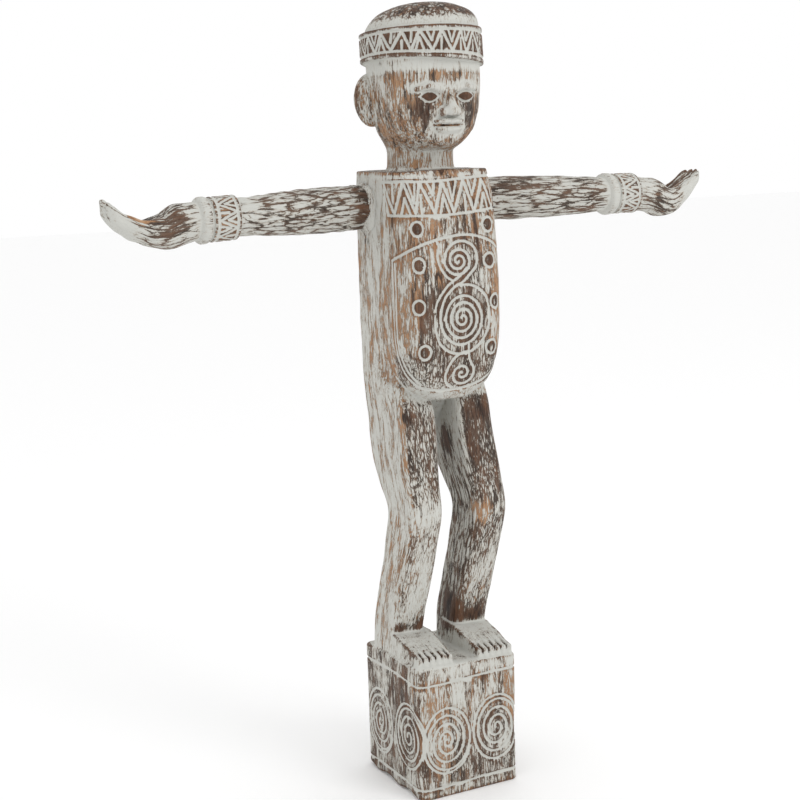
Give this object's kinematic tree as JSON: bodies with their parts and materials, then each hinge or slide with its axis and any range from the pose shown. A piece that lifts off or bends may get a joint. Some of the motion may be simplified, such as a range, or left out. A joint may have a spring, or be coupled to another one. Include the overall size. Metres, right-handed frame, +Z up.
{
  "type": "carved ancestor figure",
  "caption": "Free-standing carved wooden figure with outstretched arms and a capped head, bent knees, on a square plinth, whitewashed over dark stain.",
  "frame": {"origin": "middle of the plinth's underside, where the figure stands", "axes": "+Z up through the figure, the figure faces -Y, +X towards its left hand"},
  "size_m": [0.8422, 0.1604, 1.0038],
  "materials": {
    "whitewashed_wood": "matt chalky whitewash rubbed back over dark-stained, wire-brushed wood",
    "whitewashed_arm_wood": "matt whitewash in long crackled flakes over dark-stained wood",
    "dowel_wood": "bare turned softwood",
    "filler": "smoothed wood filler under whitewash, matt"
  },
  "bodies": {
    "root": {"figure_log": "whitewashed_wood", "right_arm": "whitewashed_arm_wood", "left_arm": "whitewashed_arm_wood", "right_shoulder_dowel": "dowel_wood", "left_shoulder_dowel": "dowel_wood", "right_shoulder_filler": "filler", "left_shoulder_filler": "filler"}
  },
  "joints": []
}
